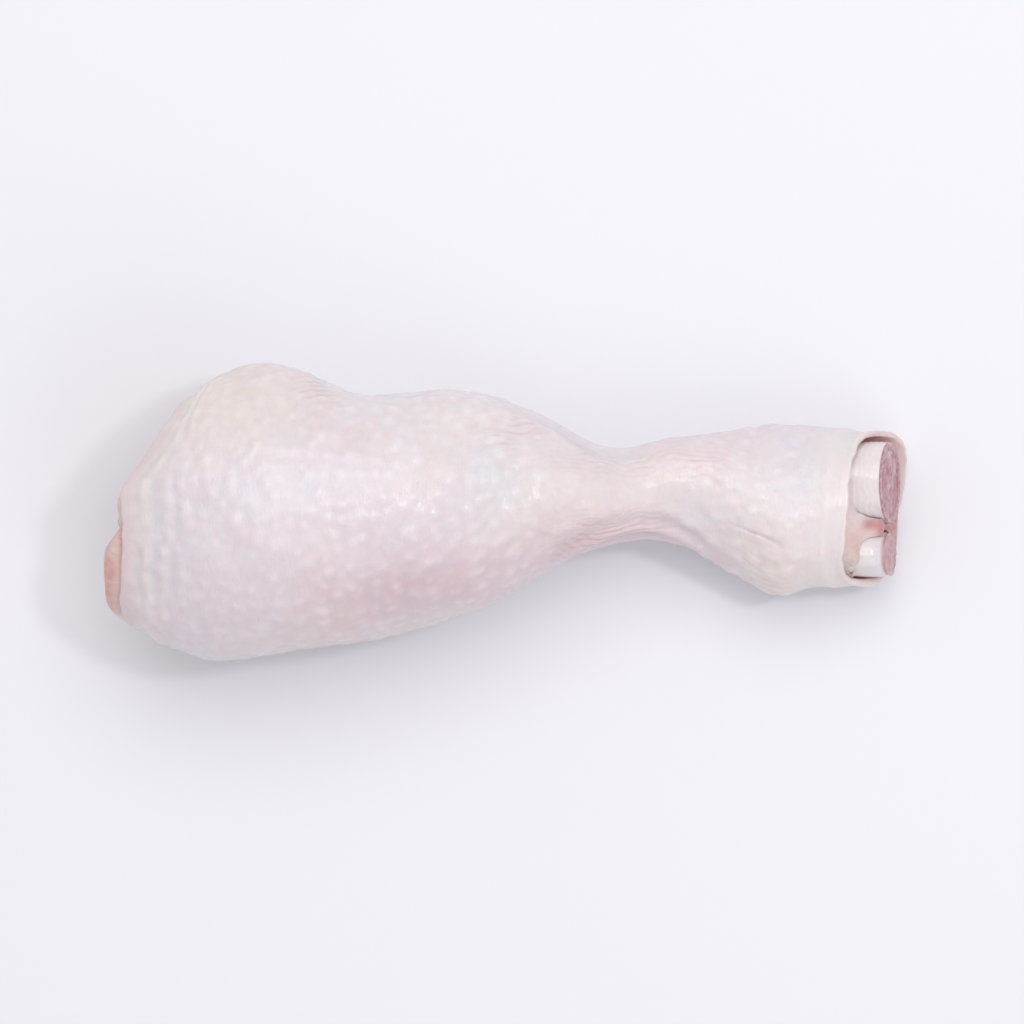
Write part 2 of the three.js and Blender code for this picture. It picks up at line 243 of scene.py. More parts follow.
def relief(share, angle):
    """The broad lumps and folds that the solids have too, in millimetres outwards."""
    out = sum(h * np.sin(along * share + around * angle + phase) for along, around, phase, h in LUMPS)
    hang = WAIST_SWAGS["sag"] * bell(share - WAIST_SWAGS["share"], WAIST_SWAGS["reach"])
    swags = np.sin(WAIST_SWAGS["folds"] * angle + hang)
    out = out + WAIST_SWAGS["height"] * presence(WAIST_SWAGS, share, angle) * swags
    far_folds = np.sin(FAR_FOLDS["folds"] * angle + FAR_FOLDS["slant"] * share)
    out = out + FAR_FOLDS["height"] * presence(FAR_FOLDS, share, angle) * far_folds
    out = out + FLAP_CREASE["height"] * presence(FLAP_CREASE, share, angle)
    out = out + COLLAR_RIDGE["height"] * bell(share - COLLAR_RIDGE["share"], COLLAR_RIDGE["reach"])
    return out * inside_edges(share, RELIEF_FADE)


def skin_thickness(share):
    from_knee = smoothstep(share, KNEE_EDGE, KNEE_EDGE + KNEE_TAPER)
    to_hock = smoothstep(share, HOCK_EDGE - HOCK_TAPER, HOCK_EDGE)
    return mix(SKIN_EDGE, SKIN, from_knee * (1 - to_hock))


def waves(table, angle):
    return sum(height * np.sin(count * angle + phase) for count, phase, height in table)


def moved(place, angle):
    """How far a bay, tongue or corner of an edge moves it along X, in millimetres."""
    return place["along"] * bell(turn_from(angle, place["angle"]), place["spread"])


def edge_wave(share, angle):
    """How far the ragged edges of the skin are drawn back along X, in millimetres."""
    fray = waves(FRAY, angle)
    knee = KNEE_DRAWN + waves(KNEE_WAVES, angle) + moved(KNEE_TONGUE, angle) + fray
    hock = HOCK_DRAWN + waves(HOCK_WAVES, angle) + moved(HOCK_BAY, angle) + fray
    at_knee = 1 - smoothstep(share, KNEE_EDGE, KNEE_EDGE + KNEE_WAVE_END)
    at_hock = smoothstep(share, HOCK_EDGE - HOCK_WAVE_START, HOCK_EDGE)
    return knee * at_knee - hock * at_hock


def cornered(share, angle):
    """How far the corner of the knee edge moves a place along X, in millimetres."""
    moves = sum(moved(part, angle) for part in KNEE_CORNER)
    return moves * (1 - smoothstep(share, KNEE_EDGE, CORNER_END))


def section(share, angle, inset, swell=0.0, wave=True):
    """Points round the skin: angle 0 faces the far side, a quarter turn is up."""
    far, near = curve(FAR_SIDE, share) * HALF_WIDTH, curve(NEAR_SIDE, share) * HALF_WIDTH
    high, low = curve(TOP, share) * HEIGHT, curve(BOTTOM, share) * HEIGHT
    across, up = np.cos(angle), np.sin(angle)
    leaned = up * np.sqrt((1 + SQUARENESS) / (1 + SQUARENESS * up * up))
    x = share * LENGTH + curve(LEAN, share) * leaned + curve(TURN, share) * across + cornered(share, angle)
    if wave:
        x = x + edge_wave(share, angle)
    y = (far + near) / 2 + ((far - near) / 2 - inset + swell) * across
    z = (high + low) / 2 + ((high - low) / 2 - inset + swell) * up
    return np.stack(np.broadcast_arrays(x, y, np.maximum(z, inset)), axis=-1)


def on_oval(x, y, z, half_y, half_z, angle):
    """Points of an upright oval that leans with the hock cut, the more the nearer it is to it."""
    rise = half_z * np.sin(angle)
    slant = smoothstep(x, HOCK_CUT - CUT_REACH, HOCK_CUT)
    return np.stack(
        np.broadcast_arrays(x + CUT_LEAN * slant * rise, y + half_y * np.cos(angle), z + rise), axis=-1
    )


def turns(count):
    return np.arange(count) * 2 * math.pi / count


def grid_normals(rings):
    """Outward normals of a tube of rings."""
    along = np.gradient(rings, axis=0)
    around = np.roll(rings, -1, axis=1) - np.roll(rings, 1, axis=1)
    normal = np.cross(along, around)
    normal /= np.maximum(np.linalg.norm(normal, axis=-1, keepdims=True), 1e-9)
    outward = rings - rings.mean(axis=1, keepdims=True)
    return normal * np.sign((normal * outward).sum())


def held_in_box(points):
    """Points eased back inside the solids' box where they near its sides, and never under the surface."""
    reach = BOX_EASE
    for axis in range(3):
        start = BOX_HIGH[axis] - reach
        over = np.maximum(points[..., axis] - start, 0)
        points[..., axis] = np.minimum(points[..., axis], start) + reach * (1 - np.exp(-over / reach))
    for axis in range(2):
        start = BOX_LOW[axis] + reach
        over = np.maximum(start - points[..., axis], 0)
        points[..., axis] = np.maximum(points[..., axis], start) - reach * (1 - np.exp(-over / reach))
    points[..., 2] = np.maximum(points[..., 2], 0.0)
    return points


def lofted(name, rings, closes, masks=None):
    """A mesh object over rings of points: it closes on itself, or has a fan over each end."""
    count, around = rings.shape[:2]
    points = rings.reshape(-1, 3)
    index = np.arange(count * around).reshape(count, around)
    if closes:
        index = np.concatenate([index, index[:1]])
    a, b = index[:-1], index[1:]
    quads = np.stack([a, b, np.roll(b, -1, axis=1), np.roll(a, -1, axis=1)], axis=-1).reshape(-1, 4)
    faces = quads.tolist()
    values = None if masks is None else masks.reshape(-1, masks.shape[-1])
    if not closes:
        ends = [len(points), len(points) + 1]
        points = np.concatenate([points, rings[:1].mean(axis=1), rings[-1:].mean(axis=1)])
        faces += [[ends[0], i, j] for i, j in zip(index[0], np.roll(index[0], -1))]
        faces += [[ends[1], j, i] for i, j in zip(index[-1], np.roll(index[-1], -1))]
    corners = [points[[face[k] for face in faces]] for k in range(3)]
    if np.einsum("ij,ij->", corners[0], np.cross(corners[1], corners[2])) < 0:
        faces = [face[::-1] for face in faces]
    mesh = bpy.data.meshes.new(name)
    mesh.from_pydata((points * MM + SHIFT).tolist(), [], faces)
    mesh.shade_smooth()
    piece = bpy.data.objects.new(name, mesh)
    bpy.context.collection.objects.link(piece)
    if values is not None:
        paint(piece, values)
    return piece


def paint(piece, values):
    """Stores four masks for each vertex, which the piece's material mixes its colours by."""
    layer = piece.data.color_attributes.new("masks", "FLOAT_COLOR", "POINT")
    layer.data.foreach_set("color", np.clip(values, 0, 1).astype(np.float32).ravel())


def vertices(piece):
    """A piece's vertices in millimetres, in the source's frame."""
    flat = np.empty(len(piece.data.vertices) * 3)
    piece.data.vertices.foreach_get("co", flat)
    return (flat.reshape(-1, 3) - SHIFT) / MM


# Skin

SKIN_AROUND = 290
SKIN_ALONG = 302
INNER_ALONG = 24
LIP_STEPS = 5
FINE_FADE = 0.012  # share of LENGTH over which the fine relief rises from the edges
FINE_LEVEL = -0.3  # millimetres that the fine relief stands on, so that it stays near the solids
LEAST_SKIN = 0.3  # millimetres of skin that stay under the deepest crease
COLLAR = (0.875, 0.905)  # shares of LENGTH at which the smooth collar sets in

# Bumps of the plucked skin, in millimetres
FOLLICLE_GAP = 2.3
ROW_PACKING = 1.12  # how much closer the rows are than the bumps in them
JITTER = 0.36  # share of the gap by which a bump is off its place
BUMP_HEIGHT = 0.1
CALF_BUMP = 0.19  # added on the calf, and on the hock
HOCK_BUMP = 0.11
HEIGHT_RANGE = (0.15, 1.35)  # of single bumps, as a share of the usual one
RADIUS_RANGE = (0.75, 1.35)
WHITE_BUMP = 0.42  # height of a bump whose top is all white

# Fine creases: place and size of their patch, wavelength and slant in millimetres, depth, redness (deepest
# in the valleys, as painted shade)
CREASES = [
    dict(share=0.52, reach=0.09, angle=0.8, spread=0.36, wave=1.5, slant=0.3, depth=0.34, red=0.85),
    dict(share=0.68, reach=0.08, angle=0.95, spread=0.35, wave=1.6, slant=-0.05, depth=0.26, red=0.6),
    dict(share=0.545, reach=0.035, angle=2.3, spread=0.5, wave=2.3, slant=-1.1, depth=0.3, red=0.35),
    dict(share=0.615, reach=0.08, angle=2.3, spread=0.42, wave=1.1, slant=0.06, depth=0.24, red=0.75),
    dict(share=0.8, reach=0.035, angle=1.95, spread=0.12, wave=3.0, slant=0.0, depth=0.45, red=0.35),
    dict(share=0.81, reach=0.05, angle=2.6, spread=0.4, wave=1.9, slant=0.25, depth=0.26, red=0.25),
    dict(share=0.235, reach=0.035, angle=0.5, spread=0.4, wave=2.4, slant=1.2, depth=0.3, red=0.4),
    dict(share=0.6, reach=0.12, angle=4.6, spread=0.9, wave=2.4, slant=0.3, depth=0.3, red=0.4),
]
VALLEY_WIDTH = 0.42  # of the height of the wave that a crease follows
CREASE_WARP = [(2.2, 7.0, 3), (0.9, 3.0, 4)]
RIPPLES = dict(share=0.075, reach=0.022, wave=1.9, height=0.11)
LIP_LUMPS = [(0.2, 2.4, 27), (0.08, 0.9, 28)]

# Places with a tint of their own, and patches of painted shade (low calf) and painted light (heel): shares
# of LENGTH, angles from the far side
FLAP = dict(share=0.13, reach=0.1, angle=0.5, spread=0.65)
UPPER_CALF = dict(share=0.4, reach=0.14, angle=0.8, spread=0.35)
# Painted shade: a redder, darker patch low on the calf's near side
PAINTED_SHADE_LOW_CALF = dict(share=0.37, reach=0.14, angle=2.3, spread=0.5)
WAIST = dict(share=0.63, reach=0.1, angle=2.7, spread=0.9)
WAIST_CROWN = dict(share=0.64, reach=0.15, angle=1.5, spread=0.8)
# Painted light: a creamier, lighter patch on the heel's under-lit near side
PAINTED_LIGHT_HEEL = dict(share=0.82, reach=0.07, angle=2.3, spread=0.9)
INSIDE_TINT = (0.55, 0.7)  # redness and cream of the inner wall
KNEE_LIP_TINT = (0.5, 0.45)
HOCK_LIP_ANGLE = -0.6  # where the lip of the hock opening is reddest and creamiest
TENDON_WALL = dict(start=0.92, angle=3.3, spread=0.5, thicker=0.4)  # inner wall beside the tendon

# How finely the skin's length and girth are measured, to space rings and bumps evenly
MEASURE_ALONG = 1500
MEASURE_AROUND = 16
GIRTH_STEPS = 240


def even_shares(count):
    """Places along the skin that are evenly spaced over its surface."""
    dense = np.linspace(KNEE_EDGE, HOCK_EDGE, MEASURE_ALONG)
    rings = section(dense[:, None], turns(MEASURE_AROUND)[None, :], 0.0)
    length = np.linalg.norm(np.diff(rings, axis=0), axis=-1).max(axis=1)
    reached = np.concatenate([[0], np.cumsum(length)])
    return np.interp(np.linspace(0, reached[-1], count), reached, dense)


def bump_size(share):
    """The usual height of a bump: tall on the calf and the hock, low by the knee and on the collar."""
    on_calf = 1 - smoothstep(share, 0.42, 0.62)
    on_hock = smoothstep(share, 0.68, 0.76) * (1 - smoothstep(share, 0.82, 0.88))
    size = BUMP_HEIGHT + CALF_BUMP * on_calf + HOCK_BUMP * on_hock
    on_collar = smoothstep(share, 0.85, 0.91)
    from_knee = smoothstep(share, 0.1, 0.3)
    return size * mix(1.0, 0.1, on_collar) * mix(0.72, 1.0, from_knee)


def follicles():
    """Where the bumps sit: rows round the leg, staggered and jittered, with a height and a radius each."""
    rng = np.random.default_rng(5)
    places, heights, radii = [], [], []
    shares = even_shares(int(LENGTH / FOLLICLE_GAP * ROW_PACKING))[1:-3]
    fine = turns(GIRTH_STEPS)
    for row, share in enumerate(shares):
        ring = section(share, fine, 0.0, relief(share, fine))
        step = np.linalg.norm(ring - np.roll(ring, 1, axis=0), axis=-1)
        reached = np.cumsum(step)
        count = int(reached[-1] / (FOLLICLE_GAP * ROW_PACKING))
        at = (np.arange(count) + 0.5 * (row % 2) + rng.uniform(-JITTER, JITTER, count)) / count
        angle = np.interp((at % 1) * reached[-1], reached, fine)
        along = share + rng.uniform(-JITTER, JITTER, count) * FOLLICLE_GAP / LENGTH
        places.append(section(along, angle, 0.0, relief(along, angle)))
        heights.append(bump_size(along) * rng.uniform(*HEIGHT_RANGE, count))
        radii.append(rng.uniform(*RADIUS_RANGE, count))
    return np.concatenate(places), np.concatenate(heights), np.concatenate(radii)


def bumps(points):
    """Height of the skin's bumps at each point, and how near it is to a bump's top, from 0 to 1."""
    places, heights, radii = follicles()
    tree = KDTree(len(places))
    for i, place in enumerate(places):
        tree.insert(place, i)
    tree.balance()
    found = [tree.find_n(p, 3) for p in points.reshape(-1, 3)]
    index = np.array([[hit[1] for hit in hits] for hits in found])
    distance = np.array([[hit[2] for hit in hits] for hits in found])
    domes = bell(distance, radii[index])
    height = (heights[index] * domes).sum(axis=1)
    top = (domes * heights[index] / WHITE_BUMP).max(axis=1)
    return height.reshape(points.shape[:-1]), top.reshape(points.shape[:-1])


def creases(points, share, angle):
    """Depth of the fine creases at each point, and the redness in them, deepest in the valleys as painted
    shade.
    """
    depth, red = 0.0, 0.0
    reach_round = np.linalg.norm(points[..., 1:] - points[..., 1:].mean(axis=1, keepdims=True), axis=-1)
    warp = roughness(points, CREASE_WARP)
    for crease in CREASES:
        patch = presence(crease, share, angle) * (0.65 + 0.6 * noise(points, 6.0, crease["wave"]))
        patch = np.clip(patch, 0, 1)
        slanted = crease["slant"] * (share - crease["share"]) * LENGTH
        across = turn_from(angle, crease["angle"]) * reach_round + slanted + warp
        valley = bell(np.sin(math.pi * across / crease["wave"]), VALLEY_WIDTH)
        depth = depth + crease["depth"] * patch * valley
        # Crease redness: the patch's own tint, deepened in the valleys as painted shade.
        red = red + crease["red"] * patch * mix(0.35, 1.0, valley)
    return depth, red


def edge_ripples(points, share):
    """Faint ripples that run along the knee edge of the skin."""
    near_edge = bell(share - RIPPLES["share"], RIPPLES["reach"])
    along = share * LENGTH + 0.8 * noise(points, 5.0, 8)
    return RIPPLES["height"] * near_edge * np.sin(2 * math.pi * along / RIPPLES["wave"])


def outer_skin():
    """The outer wall with all its relief, and its masks: white tops, redness, cream and bare collar."""
    share, angle = np.broadcast_arrays(even_shares(SKIN_ALONG)[:, None], turns(SKIN_AROUND)[None, :])
    broad = relief(share, angle)
    base = section(share, angle, 0.0, broad)
    height, top = bumps(base)
    depth, red = creases(base, share, angle)
    collar = smoothstep(share, *COLLAR)
    swell = 0.22 * noise(base, 11.0, 1) + 0.16 * noise(base, 5.5, 2) * (1 - 0.7 * collar)
    fine = height - depth * (1 - collar) + swell * (1 - 0.5 * collar) + FINE_LEVEL
    fine = fine + edge_ripples(base, share) + 0.04 * noise(base, 1.1, 6)
    normal = grid_normals(base)
    facing = np.linalg.norm(normal[..., 1:], axis=-1)
    room = (skin_thickness(share) + broad) * facing - LEAST_SKIN
    fine = np.maximum(fine * inside_edges(share, FINE_FADE), -np.maximum(room, 0.0))
    points = held_in_box(base + normal * fine[..., None])
    return points, skin_masks(points, share, angle, top, red, collar)


def skin_masks(points, share, angle, top, red, collar):
    """White tops of the bumps (partly painted highlight), redness (partly painted shade), cream (partly
    painted light on the heel) and bare collar, by place.
    """
    # Redness low on the near side and underneath: partly the skin's own tint, partly painted shade; held
    # back on the heel as painted light.
    under = bell(turn_from(angle, 3.9), 1.0) * (1 - 0.8 * bell(share - 0.82, 0.08)) * (1 - collar)
    knee_rim = 1 - smoothstep(share, KNEE_EDGE, KNEE_EDGE + 0.02)
    redness = 0.04 + red + 0.3 * under + 0.35 * knee_rim + 0.2 * layered_noise(points, 16.0, 21)
    # The low calf's redness is painted shade on its near side.
    redness = redness + 0.3 * presence(WAIST, share, angle) + 0.75 * presence(PAINTED_SHADE_LOW_CALF, share, angle)
    rim = 1 - smoothstep(share, KNEE_EDGE + 0.01, KNEE_EDGE + 0.05)
    flap = presence(FLAP, share, angle) * (1 + 0.5 * layered_noise(points, 6.0, 24))
    cream = 0.08 + 0.85 * flap + 0.4 * rim + 0.3 * collar + 0.3 * layered_noise(points, 20.0, 23)
    # The heel's cream is painted light on its under-lit side.
    for place, weight in ((UPPER_CALF, 0.1), (PAINTED_LIGHT_HEEL, 0.6), (WAIST_CROWN, 0.35)):
        cream = cream + weight * presence(place, share, angle)
    # White bump tops: partly the skin's own paler bumps, partly a painted highlight.
    white = np.clip(top * (1 - 0.8 * collar), 0, 1)
    return np.stack([white, redness, cream, collar], axis=-1)


def lip(share, angle, knee):
    """Rings round the rounded edge of the skin, from its outer to its inner wall."""
    turn = math.pi * np.arange(1, LIP_STEPS + 1) / (LIP_STEPS + 1)
    inset = SKIN_EDGE / 2 * (1 - np.cos(turn))
    rings = section(share, angle[None, :], inset[:, None])
    rings[..., 0] += (-1 if knee else 1) * (SKIN_EDGE / 3 * np.sin(turn))[:, None]
    lumps = roughness(rings, LIP_LUMPS) * np.sin(turn)[:, None]
    rings = rings + grid_normals(rings) * lumps[..., None]
    return rings[::-1] if knee else rings


def make_skin():
    """The whole skin as one closed shell: outer wall, hock lip, inner wall and knee lip."""
    outer, masks = outer_skin()
    angle = turns(SKIN_AROUND)
    shares = even_shares(INNER_ALONG)[::-1]
    at_tendon = bell(turn_from(angle, TENDON_WALL["angle"]), TENDON_WALL["spread"])
    at_tendon = smoothstep(shares, TENDON_WALL["start"], HOCK_EDGE)[:, None] * at_tendon
    wall = skin_thickness(shares)[:, None] + TENDON_WALL["thicker"] * at_tendon
    inner = section(shares[:, None], angle[None, :], wall)
    rings = np.concatenate([outer, lip(HOCK_EDGE, angle, False), inner, lip(KNEE_EDGE, angle, True)])
    inside = np.zeros((len(rings) - len(outer), SKIN_AROUND, 4))
    inside[..., 1:3] = INSIDE_TINT
    along_lip = turn_from(angle, HOCK_LIP_ANGLE)
    inside[:LIP_STEPS, :, 1] = 0.2 + 0.5 * bell(along_lip, 0.9)
    inside[:LIP_STEPS, :, 2] = 0.5 + 0.5 * bell(along_lip, 0.7)
    inside[-LIP_STEPS:, :, 1:3] = KNEE_LIP_TINT
    return lofted("raw_skin", rings, True, np.concatenate([masks, inside]))


# Meat

MEAT_AROUND = 280
DOME_ALONG = 70
WALL_ALONG = 34
STUMP_ALONG = 14
STUMP_FACE = (0.97, 0.04, 24)  # share of the rim at the first and last ring, how many
SHARP_ANGLE = math.radians(55)  # edges of the cut meat that are steeper than this stay sharp

# Middles of the muscles that end at the knee, as offsets in Y and Z from the bone's head
BUNDLES = [
    (19.0, 3.5), (11.5, 11.5), (17.0, -6.0), (8.0, -10.5), (-7.5, 12.5), (-13.5, -3.5), (-5.0, -12.0),
    (10.5, 1.5),
]
BUNDLE_WARP = 1.6
BUNDLE_REACH = 7.0  # of the rounding of a muscle's end about its middle
BUNDLE_CROWN = 0.5
SEAM_DEPTH = 0.9
SEAM_WIDTH = 0.8
STRANDS = [(0.28, 4.5, 5), (0.14, 1.6, 6), (0.07, 0.8, 7)]
DOME_SUNK = 0.35  # how far the muscles' ends stand back, for their crowns to stay near the solids
DOME_START = 0.2  # share of the way from the bone's head to the skin, under the bone
TOP_LOBE = dict(angle=1.95, spread=0.3, height=0.4)

# The knee opening as an oval in Y and Z, and where the tints of the knee face fade out along X
KNEE_MIDDLE = (-0.1, 20.9)
KNEE_RADII = (20.1, 15.3)
KNEE_FACE_END = (10.0, 15.0)

# Fat beside the tendon: its rise, and its tint, which darkens the fat with painted shade of its recess;
# and the red notch between tendon and bone, partly painted shade of the cleft
FAT_PAD = dict(x=132.2, y=-9.3, reach_x=1.3, reach_y=4.3, height=1.6)
FAT_AND_SHADE_TINT = dict(x=131.5, y=-7.0, reach_x=2.0, reach_y=3.5)
NOTCH = dict(y=-2.2, reach=1.3, start=132.0, end=134.5)


def at_spot(spot, points):
    """How much of a spot reaches points that are seen from above, from 0 to 1."""
    along = bell(points[..., 0] - spot["x"], spot["reach_x"])
    return along * bell(points[..., 1] - spot["y"], spot["reach_y"])


def bundle_gap(offset):
    """How far points of the knee face are from the nearest seam of two muscles, and from a middle."""
    depth = np.zeros(offset.shape[:-1] + (1,))
    place = np.concatenate([depth, offset], axis=-1)
    warp = np.stack([noise(place, 6.0, 71), noise(place, 6.0, 72)], axis=-1)
    middles = np.array(BUNDLES)
    distance = np.linalg.norm((offset + BUNDLE_WARP * warp)[..., None, :] - middles, axis=-1)
    distance.sort(axis=-1)
    return (distance[..., 1] - distance[..., 0]) / 2, distance[..., 0]


def knee_dome():
    """The bulge of the meat at the knee, ring by ring outwards from the bone's head."""
    angle = turns(MEAT_AROUND)[None, :]
    out = np.linspace(DOME_START, 1.0, DOME_ALONG + 1)[:-1, None]
    rim = section(KNEE_EDGE, angle, SKIN_EDGE + JOIN, wave=False)
    middle = np.array([KNEE_EDGE * LENGTH, BONE[0][1], BONE[0][2]])
    count, phase, height = LOBES
    round_off = np.sqrt(1 - out**4)
    swell = (DIMPLE + DOME_RISE * out) * round_off
    slack = np.exp(-((turn_from(angle, SLACK["angle"]) / SLACK["spread"]) ** 4))
    swell = swell * (1 - SLACK["share"] * out * slack)
    swell = swell * (1 + height * out * np.sin(count * angle + phase))
    lobe = TOP_LOBE["height"] * bell(turn_from(angle, TOP_LOBE["angle"]), TOP_LOBE["spread"])
    swell = swell + lobe * smoothstep(out, 0.5, 0.85) * round_off
    rings = middle + (rim - middle) * out[..., None]
    gap, from_middle = bundle_gap(rings[..., 1:] - middle[1:])
    groove = SEAM_DEPTH * bell(gap, SEAM_WIDTH) * smoothstep(out, 0.3, 0.5)
    crown = BUNDLE_CROWN * (1 - (np.minimum(from_middle, BUNDLE_REACH) / BUNDLE_REACH) ** 2)
    fade = 1 - smoothstep(out, 0.9, 1.0)
    inwards = (groove - crown - roughness(rings, STRANDS) + DOME_SUNK) * fade
    rings[..., 0] -= KNEE_BULGE * swell - inwards
    return held_in_box(rings)


def make_meat(bone, tendon):
    """Fills the skin, swells out of the knee opening, and stands between bone and tendon at the hock."""
    angle = turns(MEAT_AROUND)
    shares = even_shares(WALL_ALONG)
    shares = shares[shares < STUMP_SHARE]
    wall = section(shares[:, None], angle[None, :], skin_thickness(shares)[:, None] + JOIN, wave=False)
    x = np.linspace(STUMP[0][0], HOCK_CUT, STUMP_ALONG)[:, None]
    y, z, half_y, half_z = oval_at(STUMP, x)
    stump = on_oval(x, y, z, half_y, half_z, angle[None, :])
    fade = smoothstep(x, STUMP[0][0], STUMP[0][0] + 1.0)
    uneven = 0.035 * noise(stump, 2.2, 9) * fade
    stump[..., 1:] += uneven[..., None] * (stump[..., 1:] - STUMP[0][1:3])
    pad = FAT_PAD["height"] * at_spot(FAT_PAD, stump) * fade
    stump[..., 2] += pad * smoothstep(stump[..., 2] - z, 0.0, 2.5)
    end = oval_at(STUMP, np.array([HOCK_CUT]))
    face = cut_face(HOCK_CUT, end, angle[None, :], np.linspace(*STUMP_FACE), rough=0.7, seed=12)
    rings = np.concatenate([knee_dome(), wall, stump, face])
    meat = lofted("raw_meat", rings, False)
    for other in (bone, tendon):
        subtract(meat, other)
    paint(meat, meat_masks(vertices(meat)))
    return meat


def subtract(piece, tool):
    """Cuts one closed mesh out of another, and removes the one that cut."""
    cut = piece.modifiers.new("cut", "BOOLEAN")
    cut.operation = "DIFFERENCE"
    cut.solver = "MANIFOLD"
    cut.object = tool
    graph = bpy.context.evaluated_depsgraph_get()
    mesh = bpy.data.meshes.new_from_object(piece.evaluated_get(graph))
    piece.modifiers.clear()
    old, piece.data = piece.data, mesh
    bpy.data.meshes.remove(old)
    bpy.data.objects.remove(tool)
    mesh.name = piece.name


def from_cut(points, middle_z):
    """How far points are behind the hock cut, in millimetres along X."""
    return HOCK_CUT + CUT_LEAN * (points[..., 2] - middle_z) - points[..., 0]


def meat_masks(points):
    """Fat between the muscles, blood (and painted shade in the notch), tan membrane (and painted shade
    over the fat beside the tendon) and pale hock, by place.
    """
    offset = points[:, 1:] - np.array(BONE[0][1:3])
    out = np.linalg.norm((points[:, 1:] - KNEE_MIDDLE) / KNEE_RADII, axis=1)
    at_knee = 1 - smoothstep(points[:, 0], *KNEE_FACE_END)
    gap, _ = bundle_gap(offset)
    fat = 1.3 * bell(gap, 0.7) * (0.35 + 0.9 * noise(points, 4.0, 31))
    fat += smoothstep(out, 0.9, 1.0) * (0.15 + 1.0 * noise(points, 6.0, 32))
    fat += smoothstep(noise(points, 9.0, 35), 0.35, 0.6) * 0.8
    hock_fat_and_shade = at_spot(FAT_AND_SHADE_TINT, points)
    cut = 1 - smoothstep(from_cut(points, STUMP[1][2]), 0.3, 3.0)
    # The notch between tendon and bone gets blood red: partly the meat there, partly painted shade of the
    # cleft.
    notch = bell(points[:, 1] - NOTCH["y"], NOTCH["reach"])
    notch = notch * smoothstep(points[:, 0], NOTCH["start"], NOTCH["end"])
    blood = 0.2 + 0.5 * layered_noise(points, 5.0, 33) + 0.8 * np.maximum(cut, notch)
    tan = smoothstep(-offset[:, 0], -2.0, 9.0) * 0.6 + 0.4 * noise(points, 8.0, 34)
    hock = smoothstep(points[:, 0], 110.0, 122.0) * (1 - cut) * (1 - notch) * (1 - 0.8 * hock_fat_and_shade)
    # Beside the tendon: fat colour, with tan over it as painted shade of the recess.
    fat = fat * at_knee + hock_fat_and_shade * (0.5 + 0.5 * noise(points, 2.5, 36))
    return np.stack([fat, blood, tan * at_knee + hock_fat_and_shade, hock], axis=-1)


# Bone, marrow and tendon

BONE_AROUND = 120
CORE_AROUND = 96
FACE_STEPS = 28
MARROW_ALONG = 50
TENDON_ALONG = 90
EDGE_ROUND = 0.35  # radius of the cut edges
HEAD_GROOVE = dict(depth=0.5, width=1.3, slope=0.3)  # between the two facets of the knee head
HOCK_GROOVE = dict(depth=0.45, angle=1.75, spread=0.3)
BANDS = dict(height=0.03, wave=1.1)  # faint rings of the bone near the cut
BONE_UNEVEN = [(0.17, 5.0, 42), (0.07, 2.0, 43)]
LEVEL = -0.12  # millimetres that bone and tendon stand back, for their unevenness to stay in the join
MARROW_SUNK = 0.18  # how far the marrow's face is behind the bone's
KNOB = (129.0, 133.0)  # X over which the tendon turns into smooth cartilage
KNOB_TAPER = dict(start=136.4, depth=0.5)

# Rings of the bone, and of its bore from the cut inwards, as [from X, to X, how many]
BONE_RINGS = [(BONE[0][0], 9.0, 44), (9.0, 120.0, 80), (120.0, HOCK_CUT, 70)]
BORE_RINGS = [(HOCK_CUT, 118.0, 24), (118.0, MARROW_START, 30)]


def stations(table):
    """X of a tube's rings, from rows that share their ends."""
    rows = [np.linspace(*row) for row in table]
    return np.concatenate(rows[:1] + [row[1:] for row in rows[1:]])[:, None]


def oval_at(table, x):
    return tuple(curve(table, x, column) for column in (1, 2, 3, 4))


def oval_tube(table, x, angle, grow=0.0):
    y, z, half_y, half_z = oval_at(table, x)
    return on_oval(x, y, z, half_y + grow, half_z + grow, angle)


def cutter(table, around):
    """A table's oval tube, grown by the join all round and past both ends."""
    low, high = table[0][0], table[-1][0]
    x = np.linspace(low, high, int(high - low) + 1)[:, None]
    rings = oval_tube(table, x, turns(around)[None, :], JOIN)
    rings[0, :, 0] -= JOIN
    rings[-1, :, 0] += JOIN + 1.0
    return lofted("cutter", rings, False)


def marrow_oval(x, grow):
    y, z, half_y, half_z = oval_at(BONE, x)
    flare = smoothstep(x, *MARROW_FLARE)
    wide = mix(MARROW_SHAFT, half_y - MARROW_RIM, flare) + grow
    tall = mix(MARROW_SHAFT, half_z - MARROW_RIM, flare) + grow
    return y, z, wide, tall


def cut_face(x, oval, angle, shares, rough, seed):
    """Rings over a cut face, from its rim to its middle, with `rough` millimetres of relief inwards."""
    y, z, half_y, half_z = (float(np.ravel(v)[0]) for v in oval)
    face = on_oval(x, y, z, half_y * shares[:, None], half_z * shares[:, None], angle)
    pits = 0.4 + 0.45 * noise(face, 1.5, seed) + 0.4 * noise(face, 0.7, seed + 1)
    face[..., 0] -= rough * np.clip(pits, 0, 1.3) * (1 - shares[:, None] ** 8)
    return face


